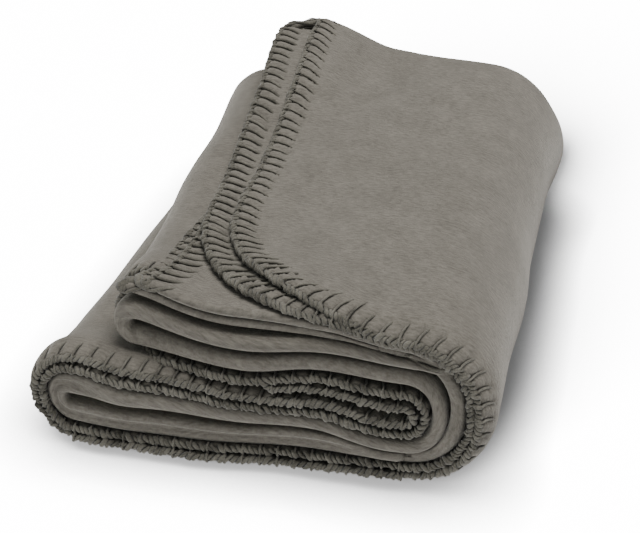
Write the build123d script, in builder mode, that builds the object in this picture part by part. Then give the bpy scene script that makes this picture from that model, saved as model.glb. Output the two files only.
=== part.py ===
"""Folded throw blanket: one fleece panel and the yarn edging whipped round its four edges.

The throw is a 127 x 152 cm panel. It is folded in four across its 152 cm side, which gives a strip of
four plies, and the strip is then folded up along its 127 cm side into five runs that lie on each other.

Frame: origin on the floor under the middle of the package, +X right, +Y back, +Z up, millimetres.
The front, -Y, shows the section: three turns and a wide outer turn on the right.
"""

import math
import os

from build123d import *

# Driving dimensions
package_width = 312.0  # X, from the left turn to the outer right turn
throw_length = 1270.0  # the panel's 50 in side, folded up into the runs
throw_width = 1524.0  # the panel's 60 in side, folded in four
ply = 6.2  # one ply of plush fleece
slit = 0.9  # air between two plies of the strip
run_gap = 0.6  # air between two runs of the strip
edging_depth = 4.0  # how far the yarn reaches past the cut edge
edging_width = 5.2  # yarn edging, measured across the ply
corner_radius = 100.0  # the panel's rounded corners
pull_back = 50.0  # the two cut-edge plies end this much short of the two folded ones
upper_turn_x = -82.0  # centre of the left turn between the third and fourth runs
inner_end_reach = 3.0  # how far the strip's inner end passes the right turns' centre

# Sizes that follow
depth = throw_width / 4
strip = 4 * ply + 3 * slit
half = strip / 2
pitch = strip + run_gap
run_z = [half + pitch * i for i in range(5)]
small_radius = pitch / 2
outer_radius = (run_z[4] - run_z[0]) / 2
right_turn_x = package_width / 2 - outer_radius - half
left_turn_x = -package_width / 2 + small_radius + half
inner_end_x = right_turn_x + inner_end_reach
inner_runs = 2 * (right_turn_x - left_turn_x) + (right_turn_x - upper_turn_x) + (inner_end_x - upper_turn_x)
turns = math.pi * (outer_radius + 3 * small_radius)
folded_end_x = right_turn_x - (throw_length - inner_runs - turns)
cut_end_x = folded_end_x + pull_back
front_y = -depth / 2
back_y = depth / 2
edge_y = front_y + edging_depth

# Offsets from the strip's middle, positive towards the outside of the outer right turn
outer_cut_ply = 1.5 * (ply + slit)
inner_cut_ply = 0.5 * (ply + slit)
ply_step = ply + slit


def strip_band(offset, width, start_x, end_x):
    """Section of a band that follows the strip, from the outer end on top to the inner end."""
    e_z, d_z, c_z = run_z[4] + offset, run_z[3] + offset, run_z[2] - offset
    b_z, a_z = run_z[1] + offset, run_z[0] - offset
    with BuildLine() as path:
        Line((start_x, e_z), (right_turn_x, e_z))
        CenterArc((right_turn_x, run_z[2]), outer_radius + offset, 90, -180)
        Line((right_turn_x, a_z), (left_turn_x, a_z))
        CenterArc((left_turn_x, (run_z[0] + run_z[1]) / 2), small_radius + offset, 270, -180)
        Line((left_turn_x, b_z), (right_turn_x, b_z))
        CenterArc((right_turn_x, (run_z[1] + run_z[2]) / 2), small_radius - offset, 270, 180)
        Line((right_turn_x, c_z), (upper_turn_x, c_z))
        CenterArc((upper_turn_x, (run_z[2] + run_z[3]) / 2), small_radius + offset, 270, -180)
        Line((upper_turn_x, d_z), (end_x, d_z))
    trace(path.line, line_width=width)


def front_plane(y):
    """Plane of a section at y, with its normal to the front."""
    return Plane.XZ.offset(-y)


def slit_through(offset, width, y_from, y_to):
    """Cuts a thin gap that follows the strip, from y_from back to y_to."""
    with BuildSketch(front_plane(y_from)) as section:
        strip_band(offset, width, folded_end_x - ply, inner_end_x + ply)
    extrude(section.sketch, amount=y_from - y_to, mode=Mode.SUBTRACT)


# Fleece panel: two plies with cut edges and two joined by a fold at the front
with BuildPart() as fleece_panel:
    with BuildSketch(front_plane(front_y)):
        strip_band(-half / 2, half, folded_end_x + edging_depth, inner_end_x - edging_depth)
    extrude(amount=-depth)
    with BuildSketch(front_plane(edge_y)):
        strip_band(half / 2, half, cut_end_x + edging_depth, inner_end_x - edging_depth)
    extrude(amount=edge_y - back_y)

    # The two cut-edge plies are rounded at the top flap's free corner
    with BuildSketch(Plane.XY.offset(run_z[4])):
        with Locations((cut_end_x, front_y)):
            Rectangle(corner_radius, corner_radius, align=(Align.MIN, Align.MIN))
        with Locations((cut_end_x + corner_radius, front_y + corner_radius)):
            Circle(corner_radius - edging_depth, mode=Mode.SUBTRACT)
    extrude(amount=half, mode=Mode.SUBTRACT)

    # The plies part at the front, and the inner fold lies in the outer one at the back
    slit_through(ply_step, slit, front_y, back_y - ply)
    slit_through(0, slit, front_y, back_y - ply_step - ply)
    slit_through(-ply_step, slit, front_y + ply, back_y - ply)
    slit_through(0, 2 * ply_step + slit, back_y - ply_step, back_y - ply)
fleece_panel.part.label = "fleece_panel"


def front_edging(offset):
    """Edging on one front edge, from the rounded corner to the inner end."""
    with BuildSketch(front_plane(front_y)) as section:
        strip_band(offset, edging_width, cut_end_x + corner_radius, inner_end_x)
    extrude(section.sketch, amount=-edging_depth)


# Edging on the outermost 127 cm edge, which meets the floor along the bottom run
with BuildPart() as front_edge_stitch_outer:
    front_edging(outer_cut_ply)
front_edge_stitch_outer.part.label = "front_edge_stitch_outer"

# Edging on the other 127 cm edge, one ply further in
with BuildPart() as front_edge_stitch_inner:
    front_edging(inner_cut_ply)
front_edge_stitch_inner.part.label = "front_edge_stitch_inner"

# Edging on the 152 cm edge that shows at the top left: it rounds the corners of the two cut-edge plies
with BuildPart() as outer_end_stitch:
    for offset in (outer_cut_ply, inner_cut_ply):
        with BuildSketch(Plane.XY.offset(run_z[4] + offset - edging_width / 2)):
            with BuildLine() as rounded_edge:
                middle_radius = corner_radius - edging_depth / 2
                CenterArc((cut_end_x + corner_radius, front_y + corner_radius), middle_radius, 270, -90)
                middle_x = cut_end_x + edging_depth / 2
                Line((middle_x, front_y + corner_radius), (middle_x, back_y))
            trace(rounded_edge.line, line_width=edging_depth)
        extrude(amount=edging_width)
    for offset in (-inner_cut_ply, -outer_cut_ply):
        with BuildSketch(Plane.XY.offset(run_z[4] + offset - edging_width / 2)):
            with Locations((folded_end_x, 0)):
                Rectangle(edging_depth, depth, align=(Align.MIN, Align.CENTER))
        extrude(amount=edging_width)
outer_end_stitch.part.label = "outer_end_stitch"

# Edging on the other 152 cm edge, at the strip's end inside the package
with BuildPart() as inner_end_stitch:
    for offset in (outer_cut_ply, inner_cut_ply, -inner_cut_ply, -outer_cut_ply):
        start_y = edge_y if offset > 0 else front_y
        with BuildSketch(Plane.XY.offset(run_z[3] + offset - edging_width / 2)):
            with Locations((inner_end_x, start_y)):
                Rectangle(edging_depth, back_y - start_y, align=(Align.MAX, Align.MIN))
        extrude(amount=edging_width)
inner_end_stitch.part.label = "inner_end_stitch"

os.makedirs("parts", exist_ok=True)
export_step(fleece_panel.part, "parts/fleece_panel.step")
export_step(front_edge_stitch_outer.part, "parts/front_edge_stitch_outer.step")
export_step(front_edge_stitch_inner.part, "parts/front_edge_stitch_inner.step")
export_step(outer_end_stitch.part, "parts/outer_end_stitch.step")
export_step(inner_end_stitch.part, "parts/inner_end_stitch.step")
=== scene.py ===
"""Folded fleece throw with whip-stitched yarn edging, modelled round its CAD frame.

The throw is one flat sheet of fleece, folded in four and then folded up into five runs. Its surface is
worked out from its flat size, so every ply is as long as the sheet is, and the yarn follows its edges.
"""

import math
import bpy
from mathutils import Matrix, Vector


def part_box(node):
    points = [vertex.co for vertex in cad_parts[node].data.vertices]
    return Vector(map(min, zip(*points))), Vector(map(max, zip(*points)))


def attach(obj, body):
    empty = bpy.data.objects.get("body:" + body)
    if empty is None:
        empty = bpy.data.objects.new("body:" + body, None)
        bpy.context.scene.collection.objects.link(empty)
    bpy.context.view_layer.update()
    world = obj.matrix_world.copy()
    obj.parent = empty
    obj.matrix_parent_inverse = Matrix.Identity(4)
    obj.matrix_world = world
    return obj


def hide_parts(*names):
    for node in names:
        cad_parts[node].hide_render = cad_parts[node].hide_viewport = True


bl_info = {
    "name": "Folded Fleece Throw",
    "version": (1, 0, 0),
    "blender": (4, 5, 0),
    "location": "3D Viewport > Sidebar > Throw",
    "description": "Builds a folded fleece throw with whip-stitched edging on its stage",
    "category": "Add Mesh",
}

import bpy
import numpy as np
from bpy.props import FloatProperty, FloatVectorProperty, IntProperty, PointerProperty, StringProperty

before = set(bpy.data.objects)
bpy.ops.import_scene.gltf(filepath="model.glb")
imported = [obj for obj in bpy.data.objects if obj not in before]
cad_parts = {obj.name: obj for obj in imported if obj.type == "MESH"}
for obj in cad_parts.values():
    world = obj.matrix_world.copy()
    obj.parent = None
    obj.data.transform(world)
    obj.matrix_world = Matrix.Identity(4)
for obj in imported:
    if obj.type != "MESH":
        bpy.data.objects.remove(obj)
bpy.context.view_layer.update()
bpy.ops.object.select_all(action="DESELECT")

MM = 0.001
PANEL_LOW, PANEL_HIGH = (np.array(corner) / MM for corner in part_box("fleece_panel"))
FRONT, BACK = PANEL_LOW[1], PANEL_HIGH[1]
HEIGHT = PANEL_HIGH[2]

# Flat sheet, in mm: u runs along the strip from its outer end, v across the sheet from its first edge
LENGTH = 1270.0
WIDTH = 1524.0
CORNER = 100.0

# The runs of the strip from the floor up, and the plies of each: ply 0 and ply 1 have the cut edges, and
# plies 2 and 3 are joined by the fold at the front. Heights of their middles at the front, in mm, at five
# places from left to right.
PLACES = (-115.0, -80.0, -10.0, 40.0, 90.0)
FRONT_HEIGHTS = {
    "A": (
        (4, 3.6, 3.6, 4.2, 4),
        (11, 10.5, 11, 12, 12),
        (20, 18.5, 18.5, 20.5, 18.5),
        (31, 29, 27.5, 30.5, 24.5),
    ),
    "B": (
        (71, 68, 62, 60, 51),
        (62.5, 58.5, 53.5, 52.5, 44),
        (54, 50, 46, 47, 37),
        (43, 40, 37, 40, 30.5),
    ),
    "C": (
        (64, 63, 63, 68, 62),
        (69, 67.5, 68, 75, 71),
        (75.5, 74.5, 75, 82, 79),
        (84, 83.5, 83, 89.5, 87),
    ),
    "D": (
        (106, 106, 101, 104, 98.5),
        (104, 104.5, 99, 103, 97.5),
        (101, 102, 96, 101, 96.5),
        (93, 92.5, 89, 95.5, 92.5),
    ),
    "E": (
        (132, 131, 126, 126, 118.5),
        (126, 125, 119.5, 120, 113.5),
        (120, 118.5, 112, 113, 107.5),
        (112, 111, 104.5, 107, 102),
    ),
}
# The plies of each run from the floor up, and how far apart they lie away from the front
STACK = (
    ("A", (0, 1, 2, 3)),
    ("B", (3, 2, 1, 0)),
    ("C", (0, 1, 2, 3)),
    ("D", (3, 2, 1, 0)),
    ("E", (3, 2, 1, 0)),
)
INSIDE_PITCH = 6.2

# Turns between the runs: where their centres stand, and how far each ply swings out past them
TURNS = {
    "EA": (95.0, (58.0, 51.0, 43.5, 36.5)),
    "AB": (-126.0, (27.0, 20.5, 13.0, 5.0)),
    "BC": (98.0, (6.0, 13.5, 19.5, 25.0)),
    "CD": (-84.0, (20.0, 16.5, 13.0, 5.0)),
}
# Where each ply of the outer end stops, at six places from the front to the back
END_PLACES = (-190.0, -155.0, -100.0, -20.0, 60.0, 190.0)
END_X = (
    (-36.0, -36.0, -38.0, -42.0, -45.0, -48.0),
    (-57.0, -57.0, -58.0, -66.0, -72.0, -79.0),
    (-76.0, -68.0, -63.0, -60.0, -67.0, -77.0),
    (-97.0, -81.0, -74.0, -64.0, -67.0, -78.0),
)
# How far the front edges of the plies curl towards the inside of the strip, in its turns and in its runs
CURL_TURN = (8.5, 6.0, 5.0, 3.5)
CURL_RUN = (5.0, 3.0, 0.0, 0.0)

# Parts of the strip in their order from the outer end, as the folding numbers them
RUN_E, TURN_EA, RUN_A, TURN_AB, RUN_B, TURN_BC, RUN_C, TURN_CD, RUN_D = range(9)
# Where the strip's inner end stops
INNER_END_X = 135.0
# Spacing of the table's places along the strip
TABLE_STEP = 2.0
# Stretches of the flat sheet that lie in the turns of the strip
TURN_STRETCHES = ((120, 370), (545, 700), (900, 1010), (1080, 1200))

# Yarn edging
ROPE_STRAND_RADIUS = 1.45
OUTER_END_U = 60.0
END_REACH = 1.3
SIDE_REACH = 0.8
END_SPACING = 0.87


def smooth(t):
    """Eases from 0 to 1."""
    t = np.clip(t, 0.0, 1.0)
    return t * t * (3 - 2 * t)


class FoldedSheet:
    """Maps a point of the flat sheet to its place in the folded package, through a dense table."""

    def __init__(self, thickness):
        self.thickness = thickness
        self.path = self.across_path()
        self.v_lines = self.across_lines()
        self.u_lines = np.arange(0.0, LENGTH + 1.0, TABLE_STEP)
        self.table = self.fold()

    def across_lines(self):
        """Lines across the sheet, closer together at its three folds."""
        lines = list(np.arange(0.0, WIDTH + 1, 4.0))
        for fold in self.folds:
            lines += list(fold + np.arange(-20.0, 20.5, 1.0))
        return np.unique(np.round(lines, 3))

    def across(self, v):
        """Ply position, 0 to 3, and distance in y for lines v across the strip."""
        along, ply, y = self.path
        return np.interp(v, along, ply), np.interp(v, along, y)

    def across_path(self):
        """Path across the strip, from ply 0 at the front to ply 1, and the places of its three folds."""
        half = self.thickness / 2
        outer, inner, front = 9.3, 3.1, 7.0
        back = BACK - half - outer * 0.9
        inner_back = back - 2.0
        fold_y = FRONT + half + front
        edge_y = FRONT + 3.5
        spans = [
            ("run", 0, edge_y, back),
            ("turn", (0, 3), back, outer * 0.9),
            ("run", 3, back, fold_y),
            ("turn", (3, 2), fold_y, -front),
            ("run", 2, fold_y, inner_back),
            ("turn", (2, 1), inner_back, inner),
            ("run", 1, inner_back, edge_y),
        ]
        plies, ys, middles = [], [], []
        for kind, ply, y_from, y_to in spans:
            if kind == "run":
                t = np.linspace(0, 1, 60)
                plies.append(np.full(60, float(ply)))
                ys.append(y_from + (y_to - y_from) * t)
            else:
                t = np.linspace(0, math.pi, 40)
                start, end = ply
                plies.append((start + end) / 2 + (start - end) / 2 * np.cos(t))
                middles.append(sum(len(part) for part in ys) + 20)
                ys.append(y_from + y_to * np.sin(t))
        ply, y = np.concatenate(plies), np.concatenate(ys)
        step = np.hypot(np.diff(y), np.diff(ply) * INSIDE_PITCH)
        along = np.concatenate([[0.0], np.cumsum(step)])
        along *= WIDTH / along[-1]
        self.folds = [along[index] for index in middles]
        return along, ply, y

    def height(self, run, ply, x, front_weight):
        """Height of a ply's middle in a run at x, from its front heights and an even stack inside."""
        level = [name for name, _plies in STACK].index(run)
        inside = [INSIDE_PITCH * (4 * level + STACK[level][1].index(number) + 0.5) for number in range(4)]
        inside = np.interp(ply, range(4), inside)
        step = np.clip(np.searchsorted(PLACES, x) - 1, 0, len(PLACES) - 2)
        places = np.array(PLACES)
        t = smooth((x - places[step]) / (places[step + 1] - places[step]))
        columns = zip(*FRONT_HEIGHTS[run])
        at_place = np.stack([np.interp(ply, range(4), column) for column in columns], axis=-1)
        at_place = np.broadcast_to(at_place, x.shape + (len(PLACES),))
        low = np.take_along_axis(at_place, step[..., None], -1)[..., 0]
        high = np.take_along_axis(at_place, step[..., None] + 1, -1)[..., 0]
        front = low + (high - low) * t
        return front * front_weight + inside * (1 - front_weight)

    def fold(self):
        """Table of places, one row for each line across and one column for each line along."""
        ply, y_base = self.across(self.v_lines)
        ply, y_base = ply[:, None], y_base[:, None]
        from_front = y_base - FRONT
        front_weight = 1 - smooth((from_front - 4) / 75)
        ends = np.stack([np.interp(y_base[:, 0], END_PLACES, row) for row in END_X])
        lower = np.clip(ply[:, 0].astype(int), 0, 2)
        share = ply[:, 0] - lower
        columns = np.arange(len(lower))
        end_x = (ends[lower, columns] * (1 - share) + ends[lower + 1, columns] * share)[:, None]

        parts = []

        def run(name, x_from, x_to, count):
            """Adds a level run from one place to the next."""
            t = np.linspace(0, 1, count, endpoint=False)[None, :]
            x = x_from + (x_to - x_from) * t + 0 * ply
            parts.append((x, self.height(name, ply, x, front_weight)))

        def turn(name, count, side):
            """Adds a half turn from the first run of its name to the second."""
            angle = np.linspace(0, math.pi, count, endpoint=False)[None, :]
            centre, swings = TURNS[name]
            centre = centre + 0 * ply
            z_from = self.height(name[0], ply, centre, front_weight)
            z_to = self.height(name[1], ply, centre, front_weight)
            x = centre + side * np.interp(ply, range(4), swings) * np.sin(angle)
            z = (z_from + z_to) / 2 + (z_from - z_to) / 2 * np.cos(angle)
            parts.append((x, z))

        ea, ab, bc, cd = (TURNS[name][0] for name in ("EA", "AB", "BC", "CD"))
        run("E", end_x, ea, 160)
        turn("EA", 110, 1)
        run("A", ea, ab, 180)
        turn("AB", 70, -1)
        run("B", ab, bc, 180)
        turn("BC", 60, 1)
        run("C", bc, cd, 160)
        turn("CD", 60, -1)
        run("D", cd, INNER_END_X, 190)

        part = np.concatenate([np.full(x.shape[1], i) for i, (x, _z) in enumerate(parts)])[None, :]
        x, z = (np.concatenate(arrays, axis=1) for arrays in zip(*parts))
        step = np.hypot(np.diff(x), np.diff(z))
        along = np.concatenate([np.zeros((len(x), 1)), np.cumsum(step, axis=1)], axis=1)
        y = y_base + self.set_back(part, ply, x) * (1 - smooth(from_front / 130))
        crease = np.exp(-(((self.v_lines - self.folds[1]) / 3.4) ** 2))[:, None]
        y = y + 5.5 * crease * self.creased(part, x)
        x, z = self.curl(x, z, part, ply, from_front)
        x, y, z = self.settle(x, y + 0 * x, z)
        return self.even_out(along, x, y, z)

    def creased(self, part, x):
        """How deep a crease the fold at the front has along its middle."""
        top = (part == RUN_E) * (1 + 0.9 * smooth((70 - x) / 60))
        right = (part == TURN_EA) * (1 - smooth((x - 95) / 40)) * 0.9
        lower = (part == RUN_A) * smooth((85 - x) / 40) + (part == TURN_AB)
        return top + right + lower + (part == RUN_B) * (1 - smooth((x + 126) / 40))

    def curl(self, x, z, part, ply, from_front):
        """Turns the front edges in towards the inside of the strip."""
        along_x, along_z = np.gradient(x, axis=1), np.gradient(z, axis=1)
        length = np.hypot(along_x, along_z) + 1e-9
        turn = np.interp(ply, range(4), CURL_TURN)
        flat = np.interp(ply, range(4), CURL_RUN)
        to_turn = smooth((x - 10) / 80)
        amount = (part == TURN_EA) * turn
        amount = amount + (part == RUN_E) * (turn * to_turn + 0.5 * flat * (1 - to_turn))
        amount = amount + (part == RUN_A) * (turn * to_turn + flat * (1 - to_turn))
        amount = amount + ((part == TURN_AB) + (part == RUN_B) * (1 - smooth(x / 60))) * flat
        amount = amount * (1 - smooth((from_front - 2) / 17) ** 0.7)
        return x + amount * along_z / length, z - amount * along_x / length

    def set_back(self, part, ply, x):
        """How far a ply's front edge stands back from the front of the package."""
        cut = smooth(1.5 - ply)
        outer = smooth(1 - ply)
        inner = cut * (1 - outer)
        # The upper runs lean back at the left, and the edges hidden inside them stand well back
        back = 12 * smooth((-15 - x) / 70) * ((part >= TURN_BC) | (part == RUN_E))
        back = back + 34 * cut * ((part == TURN_CD) | (part == RUN_D))
        back = back + 32 * outer * (part == RUN_C) * smooth((14 - x) / 26)
        back = back + 30 * inner * (part == RUN_C) * smooth((-66 - x) / 20)
        # The top flap's edges stand a little behind the folds, and the bottom edge a little in front
        back = back + 9 * cut * (part == RUN_E) * smooth((85 - x) / 70)
        return back - 3.5 * outer * (part == RUN_A)

    def settle(self, x, y, z):
        """Bends the even package into the soft, slightly uneven one."""
        toward_back = smooth((y + 60) / 250) ** 1.2
        share = np.clip((y - FRONT) / (BACK - FRONT), 0, 1)
        top = smooth((z - 88) / 36)
        hump = 7 * smooth((130 - x) / 110) * smooth(z / 100) + 22 * smooth((15 - x) / 65) * top
        # The lower runs bulge forward, the top one leans back, and the upper left turns draw in
        forward = (7 + 6 * smooth((60 - x) / 180)) * (1 - smooth((z - 45) / 45))
        forward = forward + 3 * smooth((100 - x) / 150)
        y = y - forward * (1 - smooth((y - FRONT) / 170))
        y = y + 10 * smooth((z - 90) / 30) * smooth(y / 190)
        y = y - 22 * smooth((-55 - x) / 60) * smooth((z - 62) / 12) * (1 - top) * smooth((y - 40) / 150)
        left = smooth((-60 - x) / 50)
        upper = smooth((z - 60) / 14)
        x = x + left * (24 * (1 - upper) * share ** 1.6 - 15 * upper * (1 - top) * share)
        x = x + 4 * smooth((x - 40) / 110) * smooth((y - 60) / 130)
        # It rises towards the back left, with slow waves over the whole of it
        z = z + hump * toward_back
        waves = 1.6 * np.sin(x / 31 + 0.6) * np.sin(y / 43 + 1.1) + 1.1 * np.sin(x / 17 - y / 29 + 2.0)
        z = z + z / HEIGHT * waves
        x = x + 1.2 * np.sin(y / 37 + z / 21 + 0.4) + 0.8 * np.sin(y / 19 - z / 33)
        y = y + 1.2 * np.sin(x / 29 + z / 17) + 0.8 * np.sin(x / 13 - z / 23 + 1.3)
        return x, y, z

    def even_out(self, along, x, y, z):
        """Gives every line along the strip the sheet's own length, from the outer end."""
        table = np.empty((len(x), len(self.u_lines), 3))
        for row in range(len(x)):
            for axis, values in enumerate((x, y, z)):
                table[row, :, axis] = np.interp(self.u_lines, along[row], values[row])
        return table

    def at(self, u, v):
        """Place of flat points."""
        i = np.clip(np.searchsorted(self.v_lines, v) - 1, 0, len(self.v_lines) - 2)
        s = (v - self.v_lines[i]) / (self.v_lines[i + 1] - self.v_lines[i])
        j = np.clip((u / TABLE_STEP).astype(int), 0, len(self.u_lines) - 2)
        t = u / TABLE_STEP - j
        s, t = s[..., None], t[..., None]
        rows = self.table
        low = rows[i, j] * (1 - t) + rows[i, j + 1] * t
        high = rows[i + 1, j] * (1 - t) + rows[i + 1, j + 1] * t
        return low * (1 - s) + high * s

    def normal(self, u, v, reach=1.0):
        """Unit normal of the sheet at flat points."""
        along = self.at(np.minimum(u + reach, LENGTH), v) - self.at(np.maximum(u - reach, 0), v)
        across = self.at(u, np.minimum(v + reach, WIDTH)) - self.at(u, np.maximum(v - reach, 0))
        normal = np.cross(along, across)
        return normal / np.linalg.norm(normal, axis=-1, keepdims=True)


def rounded(u, v):
    """Moves flat points of the square-cornered grid on to the sheet with its rounded corners."""
    u, v = np.array(u, float), np.array(v, float)
    p = 1 - np.minimum(u, LENGTH - u) / CORNER
    q = 1 - np.minimum(v, WIDTH - v) / CORNER
    corner = (p > 0) & (q > 0)
    p2 = p * np.sqrt(np.maximum(1 - q * q / 2, 0))
    q2 = q * np.sqrt(np.maximum(1 - p * p / 2, 0))
    from_u, from_v = CORNER * (1 - p2), CORNER * (1 - q2)
    new_u = np.where(u < LENGTH / 2, from_u, LENGTH - from_u)
    new_v = np.where(v < WIDTH / 2, from_v, WIDTH - from_v)
    return np.where(corner, new_u, u), np.where(corner, new_v, v)


def edge_distance(u, v):
    """Distance of flat points from the sheet's rounded outline."""
    a, b = np.minimum(u, LENGTH - u), np.minimum(v, WIDTH - v)
    corner = (a < CORNER) & (b < CORNER)
    round_distance = CORNER - np.hypot(CORNER - a, CORNER - b)
    return np.maximum(np.where(corner, round_distance, np.minimum(a, b)), 0)


class Edge:
    """One side of the flat sheet that a run of yarn follows, with its stitches."""

    def __init__(self, points, stitch_count, reach):
        self.reach = reach
        self.points = np.array(points, float)
        step = np.linalg.norm(np.diff(self.points, axis=0), axis=1)
        self.along = np.concatenate([[0.0], np.cumsum(step)])
        self.length = self.along[-1]
        self.stitches = (np.arange(stitch_count) + 0.5) * self.length / stitch_count

    def at(self, s):
        """Flat points on the edge, and the flat directions along it and into the sheet."""
        s = np.asarray(s, float)
        point = np.stack([np.interp(s, self.along, self.points[:, k]) for k in range(2)], -1)
        ahead = np.stack([np.interp(s + 1.5, self.along, self.points[:, k]) for k in range(2)], -1)
        behind = np.stack([np.interp(s - 1.5, self.along, self.points[:, k]) for k in range(2)], -1)
        tangent = ahead - behind
        tangent /= np.linalg.norm(tangent, axis=-1, keepdims=True)
        inward = np.stack([-tangent[..., 1], tangent[..., 0]], -1)
        middle = np.array([LENGTH / 2, WIDTH / 2])
        flip = np.sum(inward * (middle - point), -1, keepdims=True) < 0
        return point, tangent, np.where(flip, -inward, inward)


def end_outline(at_start):
    """Flat outline of one end: along the straight side and round both corners."""
    angles = np.linspace(0, math.pi / 2, 25)
    u = CORNER - CORNER * np.sin(angles)
    v = CORNER - CORNER * np.cos(angles)
    far = [(a, WIDTH - b) for a, b in zip(u[::-1], v[::-1])]
    points = list(zip(u, v)) + [(0.0, WIDTH - CORNER)] + far
    return points if at_start else [(LENGTH - a, b) for a, b in points]


def make_edges(settings):
    """The four sides, by the CAD node that each one's yarn stands for."""
    spacing, reach = settings.stitch_spacing, settings.stitch_reach
    straight = LENGTH - 2 * CORNER
    end_length = WIDTH - 2 * CORNER + math.pi * CORNER
    on_side, on_end = round(straight / spacing), round(end_length / (spacing * END_SPACING))
    side, end = reach * SIDE_REACH, reach * END_REACH
    return {
        "front_edge_stitch_outer": Edge([(CORNER, 0), (LENGTH - CORNER, 0)], on_side, side),
        "front_edge_stitch_inner": Edge([(CORNER, WIDTH), (LENGTH - CORNER, WIDTH)], on_side, side),
        "outer_end_stitch": Edge(end_outline(True), on_end, end),
        "inner_end_stitch": Edge(end_outline(False), on_end, end),
    }


def leading(base, tangent):
    """Directions along the outline in which the whip stitches lean: down the end and on along the side."""
    want = np.where(base[:, :1] < OUTER_END_U, [[0.0, -1.0]], [[1.0, 0.0]])
    want = np.where(base[:, 1:] > WIDTH / 2, want * [[1.0, -1.0]], want)
    flip = np.sum(tangent * want, -1, keepdims=True) < 0
    return np.where(flip, -tangent, tangent)


def whip_lean(base):
    """How much a stitch leans: more at the outer end, less further along."""
    return 0.12 + 0.33 * float(1 - smooth((base[0] - 200) / 120))


def stitch_pinch(u, v, edges):
    """How hard the nearest stitch pulls the fleece in, from 0 to 1, at flat points near an edge."""
    pinch = np.zeros(u.shape)
    near = edge_distance(u, v) < max(edge.reach for edge in edges.values()) + 4
    flat = np.stack([u[near], v[near]], -1)
    if not len(flat):
        return pinch
    found = np.zeros(len(flat))
    for edge in edges.values():
        reach = edge.reach
        base, tangent, inward = edge.at(edge.stitches)
        ahead = leading(base, tangent)
        for k in range(len(base)):
            away = flat - base[k]
            close = np.abs(away).max(axis=1) < reach + 8
            if not close.any():
                continue
            depth = away[close] @ inward[k]
            side = away[close] @ ahead[k] - whip_lean(base[k]) * np.maximum(depth, 0) ** 2 / reach
            pull = np.exp(-((side / 2.3) ** 2)) * (1 - smooth((depth - reach + 3) / 5))
            found[close] = np.maximum(found[close], pull)
    pinch[near] = found
    return pinch


def set_active(obj):
    """Selects one object alone and makes it the active one."""
    bpy.ops.object.select_all(action="DESELECT")
    obj.select_set(True)
    bpy.context.view_layer.objects.active = obj


def input_socket(node, name):
    """Named input of a node."""
    return next(s for s in node.inputs if s.name == name and s.enabled)


def new_group(name, inputs, outputs):
    """Empty shader node group with its sockets."""
    group = bpy.data.node_groups.new(name, "ShaderNodeTree")
    for label, kind, value in inputs:
        socket = group.interface.new_socket(label, in_out="INPUT", socket_type=kind)
        if value is not None:
            socket.default_value = value
    for label, kind in outputs:
        group.interface.new_socket(label, in_out="OUTPUT", socket_type=kind)
    return group, group.nodes.new("NodeGroupInput"), group.nodes.new("NodeGroupOutput")


def noise(nodes, links, vector, scale, detail=3.0, roughness=0.55):
    """Noise texture read at a vector."""
    node = nodes.new("ShaderNodeTexNoise")
    node.inputs["Scale"].default_value = scale
    node.inputs["Detail"].default_value = detail
    node.inputs["Roughness"].default_value = roughness
    links.new(vector, node.inputs["Vector"])
    return node.outputs["Fac"]


def stretched(nodes, links, vector, scale):
    """Vector scaled along each axis."""
    node = nodes.new("ShaderNodeMapping")
    node.inputs["Scale"].default_value = scale
    links.new(vector, node.inputs["Vector"])
    return node.outputs["Vector"]


def maths(nodes, links, operation, first, second):
    """Math node on two values, each a socket or a number."""
    node = nodes.new("ShaderNodeMath")
    node.operation = operation
    for socket, value in zip(node.inputs, (first, second)):
        if isinstance(value, (int, float)):
            socket.default_value = value
        else:
            links.new(value, socket)
    return node.outputs[0]


def remap(nodes, links, value, low, high, to_low=0.0, to_high=1.0):
    """Maps a range of values to another."""
    node = nodes.new("ShaderNodeMapRange")
    for name, number in (("From Min", low), ("From Max", high), ("To Min", to_low), ("To Max", to_high)):
        node.inputs[name].default_value = number
    links.new(value, node.inputs["Value"])
    return node.outputs["Result"]


def mixed(nodes, links, factor, first, second):
    """Colour mix of two colours, each a socket or four numbers."""
    node = nodes.new("ShaderNodeMix")
    node.data_type = "RGBA"
    links.new(factor, node.inputs["Factor"])
    for name, value in (("A", first), ("B", second)):
        socket = input_socket(node, name)
        if hasattr(value, "is_output"):
            links.new(value, socket)
        else:
            socket.default_value = value
    return next(s for s in node.outputs if s.enabled)


def fibre_group():
    """Mottled fibre colour and height from a vector, shared by the fleece and the yarn."""
    group, start, end = new_group(
        "fibre",
        [
            ("Vector", "NodeSocketVector", None),
            ("Colour", "NodeSocketColor", (0.2, 0.2, 0.2, 1)),
            ("Shade", "NodeSocketColor", (0.1, 0.1, 0.1, 1)),
            ("Scale", "NodeSocketFloat", 1.0),
        ],
        [("Colour", "NodeSocketColor"), ("Height", "NodeSocketFloat")],
    )
    nodes, links = group.nodes, group.links
    scaled = nodes.new("ShaderNodeVectorMath")
    scaled.operation = "SCALE"
    links.new(start.outputs["Vector"], scaled.inputs[0])
    links.new(start.outputs["Scale"], scaled.inputs["Scale"])
    vector = scaled.outputs[0]
    coarse = noise(nodes, links, vector, 45.0, 4.0, 0.6)
    fine = noise(nodes, links, vector, 900.0, 3.0, 0.65)
    amount = maths(nodes, links, "ADD", maths(nodes, links, "MULTIPLY", coarse, 0.55),
                   maths(nodes, links, "MULTIPLY", fine, 0.45))
    colour = mixed(nodes, links, remap(nodes, links, amount, 0.36, 0.62), start.outputs["Shade"],
                   start.outputs["Colour"])
    links.new(colour, end.inputs["Colour"])
    links.new(fine, end.inputs["Height"])
    return group


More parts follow.
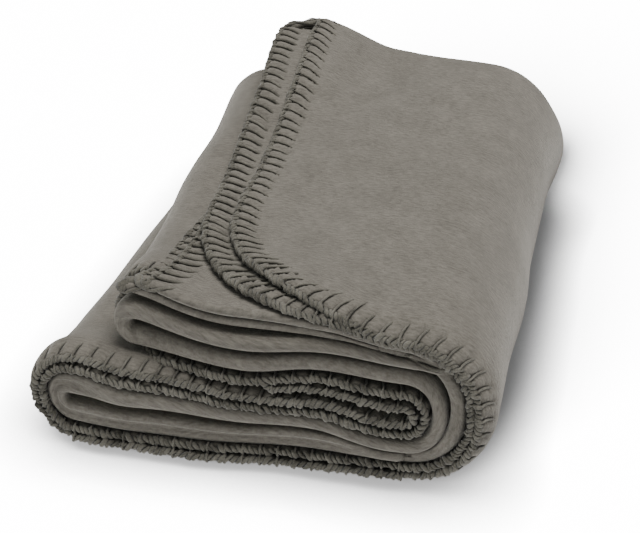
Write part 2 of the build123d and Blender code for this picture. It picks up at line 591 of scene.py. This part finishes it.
def add_fibre(material, vector, colour, shade, scale):
    """Places the shared fibre group in a material."""
    node = material.node_tree.nodes.new("ShaderNodeGroup")
    node.node_tree = bpy.data.node_groups.get("fibre") or fibre_group()
    node.inputs["Colour"].default_value = (*colour, 1)
    node.inputs["Shade"].default_value = (*shade, 1)
    node.inputs["Scale"].default_value = scale
    material.node_tree.links.new(vector, node.inputs["Vector"])
    return node


def new_material(name):
    """Material with a matt Principled shader."""
    material = bpy.data.materials.new(name)
    material.use_nodes = True
    shader = material.node_tree.nodes["Principled BSDF"]
    shader.inputs["Roughness"].default_value = 0.95
    shader.inputs["Specular IOR Level"].default_value = 0.15
    return material, shader


def bump(material, shader, height, strength, distance):
    """Bump from a height, into the shader's normal."""
    node = material.node_tree.nodes.new("ShaderNodeBump")
    node.inputs["Strength"].default_value = strength
    node.inputs["Distance"].default_value = distance
    material.node_tree.links.new(height, node.inputs["Height"])
    material.node_tree.links.new(node.outputs["Normal"], shader.inputs["Normal"])
    return node


def fleece_material(settings):
    """Plush fleece: mottled nap lying in short streaks along the strip, with painted shade in its creases.
    """
    material, shader = new_material("plush_fleece")
    nodes, links = material.node_tree.nodes, material.node_tree.links
    uv = nodes.new("ShaderNodeUVMap")
    uv.uv_map = "flat"
    vector = uv.outputs["UV"]
    colour, shade = settings.fleece_colour, settings.fleece_shade
    fibre = add_fibre(material, vector, colour, shade, 1.0)
    wander = noise(nodes, links, vector, 14.0, 2.0, 0.5)
    bent = nodes.new("ShaderNodeVectorMath")
    bent.operation = "MULTIPLY_ADD"
    links.new(wander, bent.inputs[0])
    bent.inputs[1].default_value = (0.004, 0.012, 0.0)
    links.new(vector, bent.inputs[2])
    streak_vector = stretched(nodes, links, bent.outputs[0], (1.0, 3.4, 1.0))
    streaks = noise(nodes, links, streak_vector, 190.0, 4.0, 0.68)
    broad = noise(nodes, links, vector, 9.0, 2.0, 0.5)
    dark = remap(nodes, links, streaks, 0.32, 0.62, 0.66, 1.10)
    tone = maths(nodes, links, "MULTIPLY", dark, remap(nodes, links, broad, 0.3, 0.7, 0.94, 1.04))
    tinted = nodes.new("ShaderNodeMix")
    tinted.data_type = "RGBA"
    tinted.blend_type = "MULTIPLY"
    tinted.inputs["Factor"].default_value = 1.0
    links.new(fibre.outputs["Colour"], input_socket(tinted, "A"))
    links.new(tone, input_socket(tinted, "B"))
    # Painted shade: the fleece colour is darkened in the creases between plies and stitches.
    paint_crevice_shade(material, shader, next(s for s in tinted.outputs if s.enabled), 0.007, 0.12)
    height = maths(nodes, links, "ADD", maths(nodes, links, "MULTIPLY", streaks, 1.0),
                   maths(nodes, links, "MULTIPLY", fibre.outputs["Height"], 0.35))
    bump(material, shader, height, 0.7, 0.0014)
    shader.inputs["Sheen Weight"].default_value = 0.35
    shader.inputs["Sheen Roughness"].default_value = 0.45
    shader.inputs["Sheen Tint"].default_value = (0.9, 0.87, 0.8, 1)
    return material


def yarn_material(settings):
    """Thick matt yarn, a darker tone of the fleece, with painted shade in its creases."""
    material, shader = new_material("edging_yarn")
    nodes = material.node_tree.nodes
    place = nodes.new("ShaderNodeTexCoord").outputs["Object"]
    fibre = add_fibre(material, place, settings.yarn_colour, settings.yarn_shade, 1.6)
    # Painted shade: the yarn colour is darkened where it lies deep in creases.
    paint_crevice_shade(material, shader, fibre.outputs["Colour"], 0.006, 0.3)
    bump(material, shader, fibre.outputs["Height"], 0.6, 0.0006)
    shader.inputs["Sheen Weight"].default_value = 0.2
    shader.inputs["Sheen Roughness"].default_value = 0.5
    return material


def floor_material():
    """White floor that the camera sees bright, with a painted contact shadow darkening it near the throw,
    and that sends little light back up.
    """
    material, shader = new_material("floor_white")
    nodes, links = material.node_tree.nodes, material.node_tree.links
    path = nodes.new("ShaderNodeLightPath")
    # Painted shadow: ambient occlusion darkens the floor colour close to the throw, on top of the sun's real
    # shadow.
    near = nodes.new("ShaderNodeAmbientOcclusion")
    near.samples = 12
    near.inputs["Distance"].default_value = 0.055
    painted_contact_shadow = maths(nodes, links, "POWER", near.outputs["AO"], 4.2)
    white = mixed(nodes, links, painted_contact_shadow, (0.02, 0.02, 0.02, 1), (0.9, 0.9, 0.9, 1))
    shown = mixed(nodes, links, path.outputs["Is Camera Ray"], (0.07, 0.07, 0.07, 1), white)
    links.new(shown, shader.inputs["Base Color"])
    shader.inputs["Emission Color"].default_value = (1, 1, 1, 1)
    glow = maths(nodes, links, "MULTIPLY", path.outputs["Is Camera Ray"], 0.14)
    links.new(glow, shader.inputs["Emission Strength"])
    return material


def paint_crevice_shade(material, shader, colour, depth, dark):
    """Painted shade: darkens the colour in the deep creases between plies and stitches, where ambient
    occlusion finds them closed in.
    """
    nodes, links = material.node_tree.nodes, material.node_tree.links
    shade = nodes.new("ShaderNodeAmbientOcclusion")
    shade.samples = 8
    shade.inputs["Distance"].default_value = depth
    amount = remap(nodes, links, shade.outputs["AO"], 0.15, 0.75, dark, 1.0)
    node = nodes.new("ShaderNodeMix")
    node.data_type = "RGBA"
    node.blend_type = "MULTIPLY"
    node.inputs["Factor"].default_value = 1.0
    links.new(colour, input_socket(node, "A"))
    links.new(amount, input_socket(node, "B"))
    links.new(next(s for s in node.outputs if s.enabled), shader.inputs["Base Color"])


def material_named(name, maker, settings):
    """Material by name, made the first time it is asked for."""
    return bpy.data.materials.get(name) or maker(settings)


def grid_lines(sheet, settings):
    """Lines of the sheet's grid: all of them, which ones cross it whole, and the fine bands."""
    samples = settings.samples_per_stitch
    straight = LENGTH - 2 * CORNER
    step = straight / (round(straight / settings.stitch_spacing) * samples)
    inner = np.arange(CORNER + step / 2 * (samples % 2 == 0), LENGTH - CORNER + step / 2, step)
    before = np.arange(inner[0] - step, step * 0.4, -step)[::-1]
    after = np.arange(inner[-1] + step, LENGTH - step * 0.4, step)
    u = np.concatenate([[0.0], before, inner, after, [LENGTH]])

    edge_rows = np.array([0.0, 0.5, 1.3, 2.6, 4.6, 7.5, 11.0, 15.5])
    folds = {}
    for name, where, spread, count in (("outer", sheet.folds[0], 19, 14), ("front", sheet.folds[1], 13, 15),
                                       ("inner", sheet.folds[2], 8, 8)):
        folds[name] = (where - spread, where + spread, where + np.linspace(-spread, spread, count))
    v = [edge_rows]
    core = [np.ones(len(edge_rows), bool)]
    start = edge_rows[-1]
    for name in ("outer", "front", "inner", None):
        stop = folds[name][0] if name else WIDTH - edge_rows[-1]
        count = round((stop - start) / settings.core_spacing)
        per = max(1, round((stop - start) / count / step))
        lines = np.linspace(start, stop, count * per + 1)
        v.append(lines[1:-1])
        core.append((np.arange(count * per + 1) % per == 0)[1:-1])
        if name:
            v.append(folds[name][2])
            core.append(np.ones(len(folds[name][2]), bool))
            start = folds[name][1]
    v.append(WIDTH - edge_rows[::-1])
    core.append(np.ones(len(edge_rows), bool))
    v, core = np.concatenate(v), np.concatenate(core)
    bands = [(0, edge_rows[-1]), folds["outer"][:2], folds["front"][:2], (WIDTH - edge_rows[-1], WIDTH)]
    return u, v, core, bands


def coarse_columns(u, settings):
    """Which lines along the strip run through the plain parts of the sheet."""
    keep = np.zeros(len(u), bool)
    keep[0] = keep[-1] = True
    last = 0.0
    for index, place in enumerate(u):
        in_turn = any(low < place < high for low, high in TURN_STRETCHES)
        gap = settings.turn_spacing if in_turn else settings.core_spacing * 0.8
        if place - last >= gap - 0.3 or place < 17:
            keep[index] = True
            last = place
    return keep


def cells_of_grid(u, v, core_v, coarse_u, bands):
    """Faces of the grid as lists of (column, row), finer in the bands and at the outer end."""
    end_band = np.searchsorted(u, 16.0)
    in_band = [any(low - 1e-6 <= value <= high + 1e-6 for low, high in bands) for value in v]
    rows = [j for j in range(len(v)) if core_v[j]]
    columns = [i for i in range(len(u)) if coarse_u[i] or i <= end_band]
    faces = []

    def columns_on(row):
        """Lines along the strip that have a point on a row."""
        return range(len(u)) if in_band[row] else columns

    for j in range(len(v) - 1):
        for i in range(end_band):
            faces.append([(i, j), (i + 1, j), (i + 1, j + 1), (i, j + 1)])
    for low, high in zip(rows[:-1], rows[1:]):
        band = in_band[low] and in_band[high] and high == low + 1
        cols = [i for i in (range(len(u)) if band else columns) if i >= end_band]
        for a, b in zip(cols[:-1], cols[1:]):
            bottom = [i for i in columns_on(low) if a <= i <= b]
            top = [i for i in columns_on(high) if a <= i <= b]
            left = list(range(low + 1, high)) if a == end_band else []
            faces += cell(bottom, top, left, low, high, a)
    return faces


def cell(bottom, top, left, low, high, a):
    """Faces of one cell, whose sides may hold extra points."""
    if len(bottom) == len(top) == 2 and not left:
        return [[(bottom[0], low), (bottom[1], low), (top[1], high), (top[0], high)]]
    if left or (len(bottom) > 2 and len(top) > 2):
        ring = [(i, low) for i in bottom] + [(i, high) for i in top[::-1]] + [(a, j) for j in left[::-1]]
        return [ring]
    many, many_row, few, few_row = bottom, low, top, high
    if len(top) > 2:
        many, many_row, few, few_row = top, high, bottom, low
    half = len(many) // 2
    faces = [[(many[k], many_row), (many[k + 1], many_row), (few[0 if k < half else 1], few_row)]
             for k in range(len(many) - 1)]
    faces.append([(many[half], many_row), (few[1], few_row), (few[0], few_row)])
    return faces if many_row == low else [face[::-1] for face in faces]


def sheet_object(name, sheet, settings):
    """The folded sheet as a thin mesh, with its flat UV map and its thickness weights."""
    u, v, core_v, bands = grid_lines(sheet, settings)
    coarse_u = coarse_columns(u, settings)
    faces = cells_of_grid(u, v, core_v, coarse_u, bands)
    used = sorted({point for face in faces for point in face})
    index = {point: k for k, point in enumerate(used)}
    grid = np.array(used)
    flat_u, flat_v = rounded(u[grid[:, 0]], v[grid[:, 1]])
    places = sheet.at(flat_u, flat_v)

    edges = make_edges(settings)
    pinch = stitch_pinch(flat_u, flat_v, edges)
    distance = edge_distance(flat_u, flat_v)
    rim = 0.45 + 0.55 * np.sqrt(smooth(distance / 2.4))
    puff = 0.20 * np.exp(-(((distance - 4) / 6) ** 2))
    outer_end = (flat_u < 215) | ((flat_u > 330) & (flat_u < 620))
    crease = np.exp(-(((flat_v - sheet.folds[1]) / 2.2) ** 2)) * outer_end
    weight = rim * (0.80 + puff) * (1 - 0.72 * pinch) * (1 - 0.4 * crease)

    mesh = bpy.data.meshes.new(name)
    mesh.from_pydata((places * MM).tolist(), [], [[index[p] for p in face] for face in faces])
    layer = mesh.uv_layers.new(name="flat")
    corner = np.array([loop.vertex_index for loop in mesh.loops])
    coordinates = np.stack([flat_u[corner], flat_v[corner]], -1) * MM
    layer.data.foreach_set("uv", coordinates.ravel())
    obj = bpy.data.objects.new(name, mesh)
    bpy.context.collection.objects.link(obj)
    group = obj.vertex_groups.new(name="thickness")
    for k, value in enumerate(weight):
        group.add([k], float(min(value, 1.0)), "REPLACE")
    return obj


def apply_thickness(obj, thickness):
    """Gives the sheet its thickness, thinner where stitches pinch it."""
    set_active(obj)
    bpy.ops.object.modifier_add(type="SOLIDIFY")
    solidify = obj.modifiers[-1]
    solidify.thickness = thickness * MM
    solidify.offset = 0.0
    solidify.vertex_group = "thickness"
    solidify.thickness_vertex_group = 0.0
    bpy.ops.object.modifier_apply(modifier=solidify.name)
    bpy.ops.object.shade_smooth()


def strand_curve(name, strands, radius, sides):
    """Round strands through lists of points, as one mesh. A strand is (points, radii)."""
    data = bpy.data.curves.new(name, "CURVE")
    data.dimensions = "3D"
    data.bevel_depth = radius * MM
    data.bevel_resolution = sides
    data.use_fill_caps = True
    for points, radii in strands:
        spline = data.splines.new("POLY")
        spline.points.add(len(points) - 1)
        spline.points.foreach_set("co", np.column_stack([points * MM, np.ones(len(points))]).ravel())
        spline.points.foreach_set("radius", radii)
    obj = bpy.data.objects.new(name, data)
    bpy.context.collection.objects.link(obj)
    set_active(obj)
    bpy.ops.object.convert(target="MESH")
    bpy.ops.object.shade_smooth()
    return bpy.context.active_object


def outward_frame(sheet, edge, s):
    """Place, direction out of the sheet and normal on an edge."""
    point, _tangent, inward = edge.at(s)
    place = sheet.at(point[..., 0], point[..., 1])
    inside = point + inward * 2.5
    out = place - sheet.at(inside[..., 0], inside[..., 1])
    out /= np.linalg.norm(out, axis=-1, keepdims=True)
    normal = sheet.normal(inside[..., 0], inside[..., 1])
    return place, out, normal


def edge_rope(sheet, edge, settings, rng):
    """Two strands twisted unevenly along the edge, thicker where the outer end passes its front fold."""
    turn = settings.rope_pitch
    s = np.arange(0.5, edge.length - 0.5, turn / 8)
    place, out, normal = outward_frame(sheet, edge, s)
    flat = edge.at(s)[0]
    tip = np.exp(-(((flat[:, 1] - sheet.folds[1]) / 12) ** 2)) * (flat[:, 0] < OUTER_END_U)
    wander = np.convolve(rng.normal(0, 1, len(s) + 24), np.hanning(13) / 3.2, "same")[12:-12]
    strands = []
    for phase in (0.0, math.pi):
        angle = 2 * math.pi * s / turn + phase + 0.7 * wander
        loose = np.convolve(rng.normal(0, 1, len(s) + 8), np.ones(3) / 1.8, "same")[4:-4]
        swing = settings.rope_swing * (1 + 0.15 * np.sin(s / 9.7 + phase) + 0.22 * loose)
        points = place + out * (0.6 + swing * np.cos(angle))[:, None]
        points = points + normal * (swing * np.sin(angle))[:, None]
        strands.append((points, np.clip(1 + 0.16 * loose, 0.6, 1.5) * (1 + 0.8 * tip)))
    return strands


def edge_legs(sheet, edge, settings, rng):
    """One strand for each stitch, over the edge from face to face."""
    strands = []
    reach, radius = edge.reach, settings.yarn_radius
    depths = np.array([reach + 1.5, reach, reach * 0.72, reach * 0.45, reach * 0.2, 0.0])
    base, tangent, inward = edge.at(edge.stitches)
    ahead = leading(base, tangent)
    _place, out, edge_normal = outward_frame(sheet, edge, edge.stitches)
    half = settings.ply_thickness / 2
    for k in range(len(base)):
        lean = whip_lean(base[k]) + rng.uniform(-0.06, 0.06)
        scale = rng.uniform(0.9, 1.15)
        side = lean * depths ** 2 / reach
        flat = base[k] + inward[k] * (depths * scale)[:, None] + ahead[k] * side[:, None]
        flat[:, 0] = np.clip(flat[:, 0], 0, LENGTH)
        flat[:, 1] = np.clip(flat[:, 1], 0, WIDTH)
        place = sheet.at(flat[:, 0], flat[:, 1])
        normal = sheet.normal(flat[:, 0], flat[:, 1])
        lift = half * np.array([0.1, 0.42, 0.55, 0.62, 0.72, 0.85]) + radius * 0.35
        over = place + normal * lift[:, None]
        under = place - normal * lift[:, None]
        angles = np.linspace(-0.5, 0.5, 5) * math.pi
        tip = place[-1]
        bend = tip + out[k] * ((radius + 1.9) * np.cos(angles))[:, None]
        bend = bend - edge_normal[k] * ((half * 0.85 + radius * 0.35) * np.sin(angles))[:, None]
        points = np.concatenate([over, bend, under[::-1]])
        thick = 1.45 if base[k, 0] < OUTER_END_U and base[k, 1] > WIDTH / 2 else 1.0
        radii = np.full(len(points), thick)
        radii[[0, -1]] = 0.55
        strands.append((points, radii))
    return strands


class ThrowSettings(bpy.types.PropertyGroup):
    """Sizes and colours of the throw."""

    ply_thickness: FloatProperty(
        name="Ply thickness", description="Thickness of the fleece where it is fullest, mm", default=6.6,
        min=2.0)
    stitch_spacing: FloatProperty(
        name="Stitch spacing", description="Distance between stitches along the edge, mm", default=11.5,
        min=4.0)
    stitch_reach: FloatProperty(
        name="Stitch reach", description="How far a stitch goes in from the edge, mm", default=12.0, min=3.0)
    yarn_radius: FloatProperty(
        name="Yarn radius", description="Radius of a stitch's strand, mm", default=0.85, min=0.3)
    rope_pitch: FloatProperty(
        name="Rope pitch", description="Length of one twist of the edge rope, mm", default=7.4, min=2.0)
    rope_swing: FloatProperty(
        name="Rope swing", description="How far the edge rope's strands stand from its middle, mm",
        default=1.5)
    samples_per_stitch: IntProperty(
        name="Samples per stitch", description="Lines of the sheet's grid for each stitch", default=5,
        min=2)
    core_spacing: FloatProperty(
        name="Core spacing", description="Spacing of the grid in plain parts, mm", default=14.0, min=4.0)
    turn_spacing: FloatProperty(
        name="Turn spacing", description="Spacing of the grid in the turns, mm", default=5.5, min=2.0)
    fleece_colour: FloatVectorProperty(
        name="Fleece colour", description="Lighter tone of the fleece", subtype="COLOR",
        default=(0.165, 0.152, 0.131))
    fleece_shade: FloatVectorProperty(
        name="Fleece shade", description="Darker tone of the fleece", subtype="COLOR",
        default=(0.120, 0.1105, 0.095))
    yarn_colour: FloatVectorProperty(
        name="Yarn colour", description="Lighter tone of the yarn", subtype="COLOR",
        default=(0.155, 0.146, 0.123))
    yarn_shade: FloatVectorProperty(
        name="Yarn shade", description="Darker tone of the yarn", subtype="COLOR",
        default=(0.042, 0.039, 0.031))
    seed: IntProperty(name="Seed", description="Seed of the stitches' unevenness", default=7)


_sheet = {}


def folded_sheet(settings):
    """The folded sheet for these settings, worked out once."""
    key = round(settings.ply_thickness, 4)
    if key not in _sheet:
        _sheet[key] = FoldedSheet(settings.ply_thickness * 0.8)
    return _sheet[key]


class THROW_OT_fleece(bpy.types.Operator):
    """Add the folded fleece sheet"""

    bl_idname = "throw.add_fleece"
    bl_label = "Fleece Sheet"

    def execute(self, context):
        settings = context.scene.throw_settings
        obj = sheet_object("throw_fleece", folded_sheet(settings), settings)
        apply_thickness(obj, settings.ply_thickness)
        obj.data.materials.append(material_named("plush_fleece", fleece_material, settings))
        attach(obj, "root")
        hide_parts("fleece_panel")
        bpy.data.collections["lit_by_throw_lights"].objects.link(obj)
        return {"FINISHED"}


class THROW_OT_edging(bpy.types.Operator):
    """Add the yarn edging along one side of the sheet"""

    bl_idname = "throw.add_edging"
    bl_label = "Yarn Edging"

    node: StringProperty(name="Node", description="CAD node that this edging stands for",
                         default="outer_end_stitch")

    def execute(self, context):
        settings = context.scene.throw_settings
        sheet = folded_sheet(settings)
        edge = make_edges(settings)[self.node]
        rng = np.random.default_rng(settings.seed + len(self.node))
        name = self.node.replace("_stitch", "_yarn")
        rope = strand_curve(name, edge_rope(sheet, edge, settings, rng), ROPE_STRAND_RADIUS, 1)
        legs = strand_curve(name + "_legs", edge_legs(sheet, edge, settings, rng), settings.yarn_radius, 1)
        bpy.ops.object.select_all(action="DESELECT")
        legs.select_set(True)
        rope.select_set(True)
        context.view_layer.objects.active = rope
        bpy.ops.object.join()
        rope.data.materials.append(material_named("edging_yarn", yarn_material, settings))
        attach(rope, "root")
        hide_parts(self.node)
        bpy.data.collections["lit_by_throw_lights"].objects.link(rope)
        return {"FINISHED"}


def area_light(name, place, target, size, energy, colour):
    """Soft light aimed at a point."""
    bpy.ops.object.light_add(type="AREA", location=place)
    light = bpy.context.active_object
    light.name = name
    light.data.shape = "DISK"
    light.data.size = size
    light.data.energy = energy
    light.data.color = colour
    aim = np.array(target) - np.array(place)
    yaw = math.atan2(aim[0], -aim[1]) if abs(aim[0]) + abs(aim[1]) > 1e-9 else 0.0
    tilt = math.atan2(math.hypot(aim[0], aim[1]), -aim[2])
    light.rotation_euler = (tilt, 0, math.pi + yaw)
    return light


class THROW_OT_stage(bpy.types.Operator):
    """Add the floor, the lights and the camera"""

    bl_idname = "throw.add_stage"
    bl_label = "Stage"

    def execute(self, context):
        bpy.ops.mesh.primitive_plane_add(size=12.0, location=(0, 0, 0))
        floor = context.active_object
        floor.name = "floor"
        floor.data.materials.append(floor_material())

        world = bpy.data.worlds.new("studio")
        context.scene.world = world
        world.use_nodes = True
        world.node_tree.nodes["Background"].inputs["Color"].default_value = (1, 1, 1, 1)
        world.node_tree.nodes["Background"].inputs["Strength"].default_value = 0.36

        lit_floor = bpy.data.collections.new("lit_by_floor_light")
        context.scene.collection.children.link(lit_floor)
        lit_floor.objects.link(floor)
        bpy.ops.object.light_add(type="SUN", location=(-0.5, 0.2, 1.5))
        sun = context.active_object
        sun.name = "floor_light"
        sun.data.energy = 115
        sun.data.angle = 0.6
        sun.rotation_euler = (math.radians(62), 0, math.radians(-17))
        sun.light_linking.receiver_collection = lit_floor

        lit_throw = bpy.data.collections.new("lit_by_throw_lights")
        context.scene.collection.children.link(lit_throw)
        lights = [
            area_light("top_light", (0.30, 0.05, 1.8), (0, 0, 0.05), 1.1, 44, (1.0, 0.99, 0.97)),
            area_light("fill_light", (-0.3, -1.6, 0.9), (0, 0, 0.05), 1.2, 2.6, (0.88, 1.0, 0.83)),
        ]
        for light in lights:
            light.light_linking.receiver_collection = lit_throw

        bpy.ops.object.camera_add(location=(0.2065, -0.8599, 0.6078))
        camera = context.active_object
        camera.data.lens = 77.8
        camera.data.sensor_width = 36.0
        pitch, yaw = math.radians(33.04), math.radians(13.73)
        camera.rotation_euler = (math.pi / 2 - pitch, 0, yaw)
        context.scene.camera = camera
        return {"FINISHED"}


class THROW_PT_panel(bpy.types.Panel):
    """Lists the throw's pieces"""

    bl_label = "Folded Throw"
    bl_idname = "THROW_PT_panel"
    bl_space_type = "VIEW_3D"
    bl_region_type = "UI"
    bl_category = "Throw"

    def draw(self, context):
        settings = context.scene.throw_settings
        for name in ("ply_thickness", "stitch_spacing", "stitch_reach", "yarn_radius", "fleece_colour",
                     "yarn_colour"):
            self.layout.prop(settings, name)
        self.layout.operator("throw.add_fleece")
        self.layout.operator("throw.add_edging")
        self.layout.operator("throw.add_stage")


CLASSES = (ThrowSettings, THROW_OT_fleece, THROW_OT_edging, THROW_OT_stage, THROW_PT_panel)


def register():
    """Adds the classes and the throw's settings."""
    for cls in CLASSES:
        bpy.utils.register_class(cls)
    bpy.types.Scene.throw_settings = PointerProperty(type=ThrowSettings)


def unregister():
    """Removes the classes and the throw's settings."""
    del bpy.types.Scene.throw_settings
    for cls in reversed(CLASSES):
        bpy.utils.unregister_class(cls)


def main():
    """Builds the throw on its stage."""
    register()
    bpy.ops.throw.add_stage()
    bpy.ops.throw.add_fleece()
    for node in make_edges(bpy.context.scene.throw_settings):
        bpy.ops.throw.add_edging(node=node)


if __name__ == "__main__":
    main()
